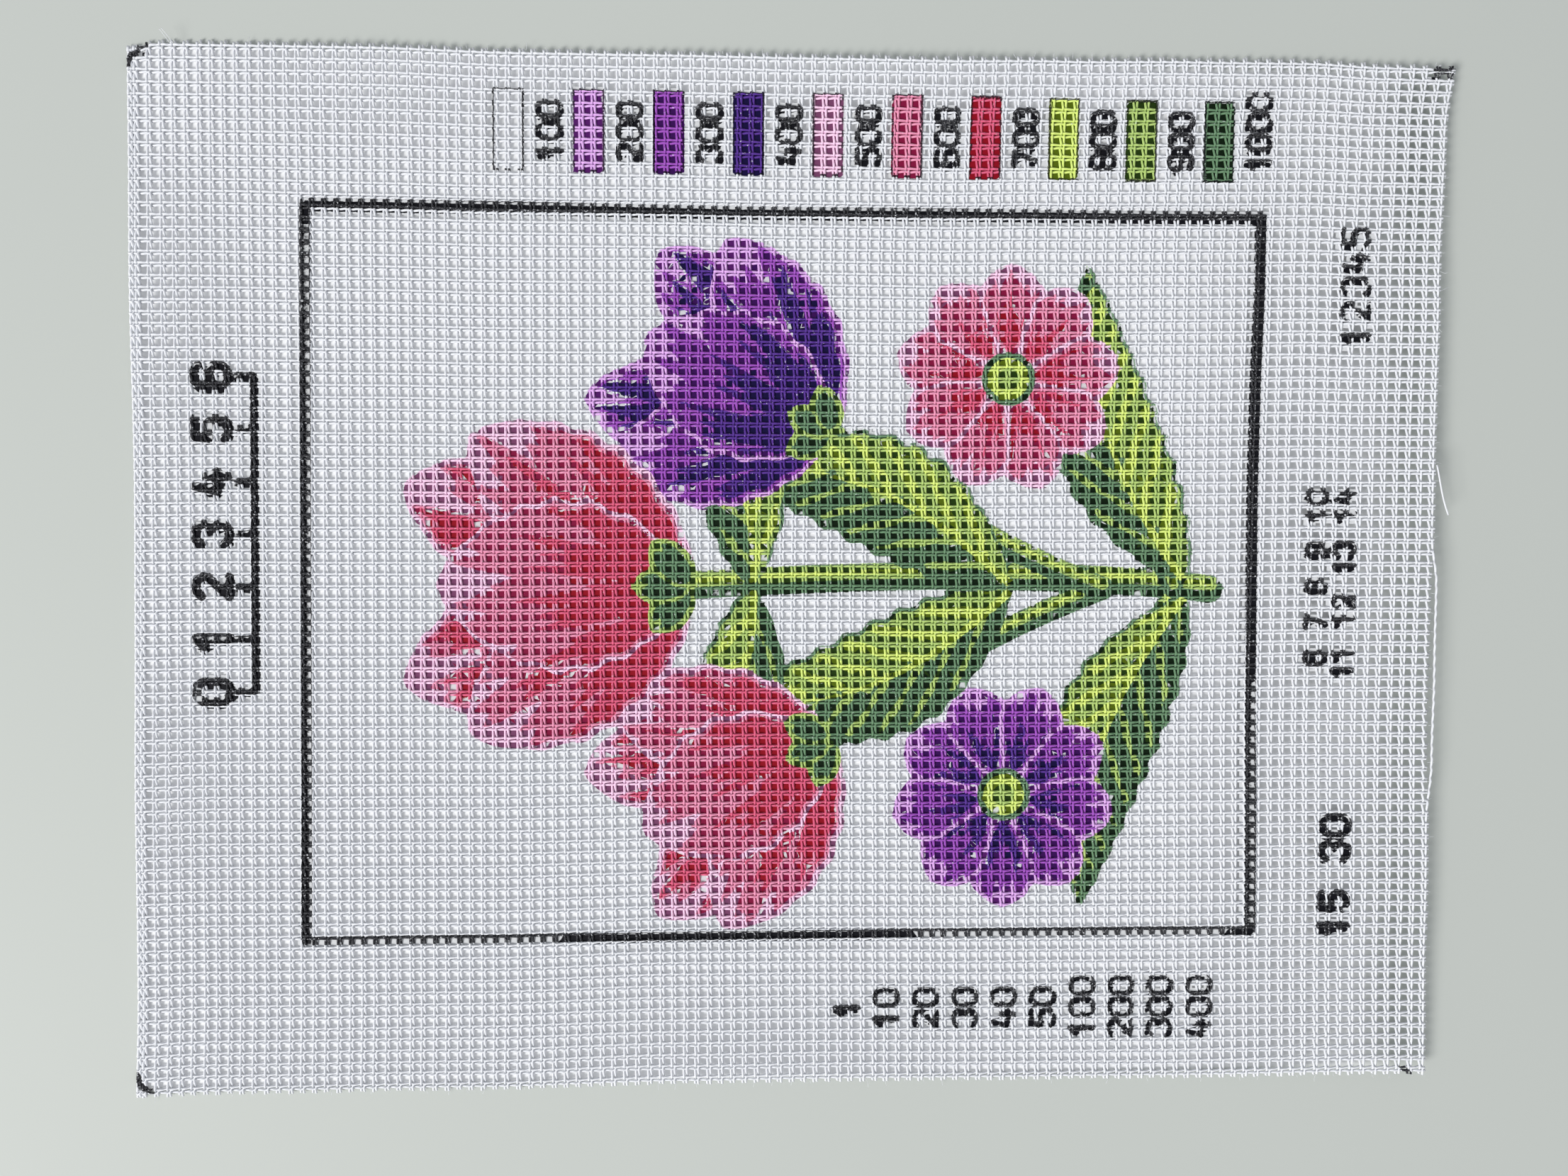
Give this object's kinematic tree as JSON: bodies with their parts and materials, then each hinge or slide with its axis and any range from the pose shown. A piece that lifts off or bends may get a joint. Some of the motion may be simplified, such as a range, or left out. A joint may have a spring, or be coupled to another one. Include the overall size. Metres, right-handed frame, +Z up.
{
  "type": "needlepoint canvas panel",
  "caption": "Flat raw-edged panel of stiff white double-thread cotton canvas with a printed floral guide for needlepoint, one margin sprung slightly upwards.",
  "frame": {"origin": "on the surface the sheet lies on, under the middle of its outline", "axes": "+X along the long side, +Y along the short side, +Z up out of the printed side"},
  "size_m": [0.2526, 0.2012, 0.0046],
  "materials": {
    "canvas": "stiffened white cotton threads in pairs, plain weave with open holes, printed on the upper side"
  },
  "bodies": {
    "root": {"canvas": "canvas"}
  },
  "joints": []
}
